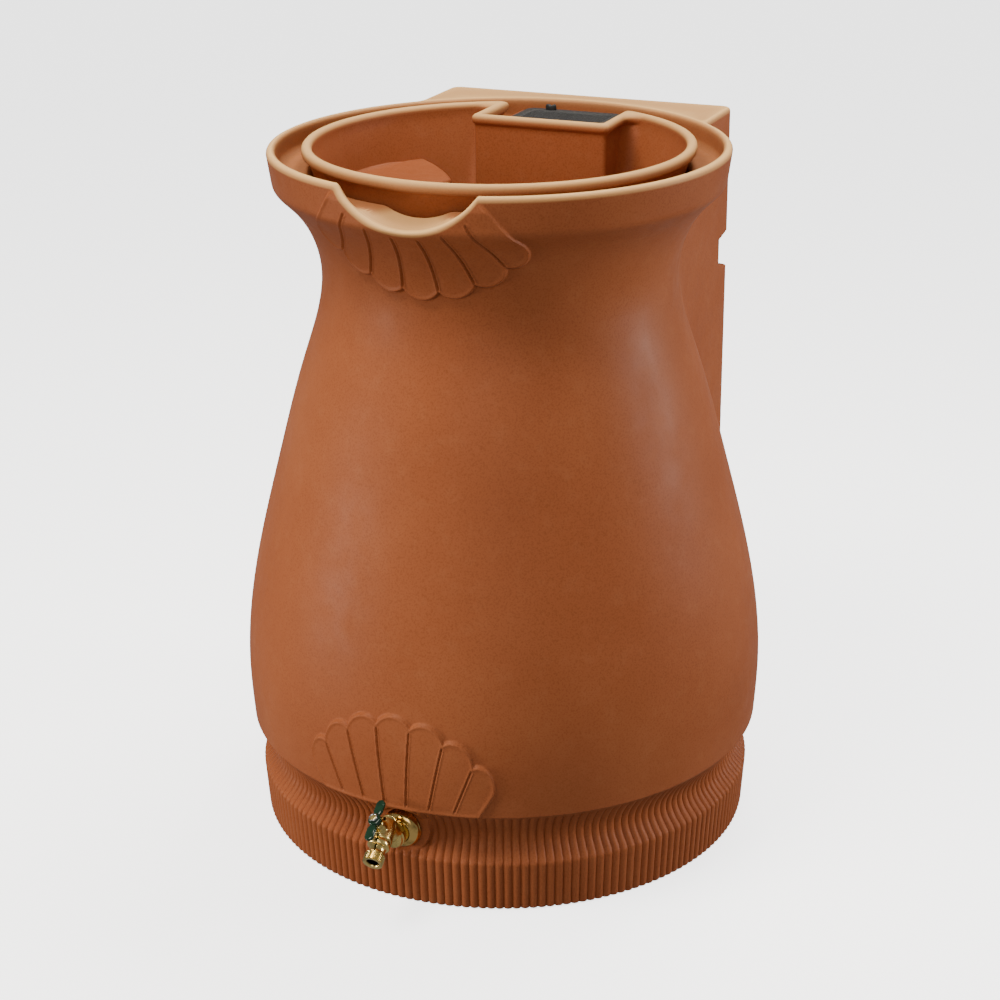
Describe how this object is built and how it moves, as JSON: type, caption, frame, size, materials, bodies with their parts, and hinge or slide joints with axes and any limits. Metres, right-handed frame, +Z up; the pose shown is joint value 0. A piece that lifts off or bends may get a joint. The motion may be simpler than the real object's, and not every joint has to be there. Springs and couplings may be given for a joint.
{
  "type": "rain barrel",
  "caption": "Urn-shaped rain barrel with a flat back, fluted foot, pouring spout, lift-out planter, inlet screen and a brass ball-valve spigot.",
  "frame": {"origin": "on the ground, on the axis of the urn", "axes": "+Z up along the urn's axis; -Y towards the spout and the spigot; +Y towards the flat back; +X to the right seen from the front"},
  "size_m": [0.7152, 0.7639, 0.9415],
  "materials": {
    "terracotta": "satin, fine rotomoulded grain",
    "black_plastic": "matte",
    "brass": "polished",
    "green_enamel": "gloss enamel",
    "gasket_rubber": "matte",
    "white_plastic": "smooth",
    "chrome_ball": "polished",
    "steel": "zinc plated"
  },
  "bodies": {
    "barrel": {"tank": "terracotta", "wall_flange": "brass", "outer_gasket": "gasket_rubber", "inner_gasket": "gasket_rubber", "inner_washer": "steel", "lock_nut": "brass", "spigot_body": "brass", "outlet_nozzle": "brass", "rear_ball_seat": "white_plastic", "front_ball_seat": "white_plastic", "thrust_washer": "white_plastic", "stem_packing": "white_plastic", "packing_nut": "brass"},
    "planter": {"planter_insert": "terracotta"},
    "screen": {"screen_frame": "black_plastic", "screen_mesh": "black_plastic"},
    "valve": {"valve_ball": "chrome_ball", "valve_stem": "brass", "handle": "green_enamel", "handle_nut": "steel"}
  },
  "joints": [
    {"name": "planter_lift", "type": "slide", "parent": "barrel", "child": "planter", "axis": [0, 0, 1], "range_m": [0, 0.15]},
    {"name": "screen_lift", "type": "slide", "parent": "barrel", "child": "screen", "axis": [0, 0, 1], "range_m": [0, 0.05]},
    {"name": "valve_turn", "type": "hinge", "parent": "barrel", "child": "valve", "pos_m": [-0.00313, -0.388, 0.12673], "axis": [-0.1533, -0.4695, 0.8695], "range_deg": [-90, 0]}
  ]
}
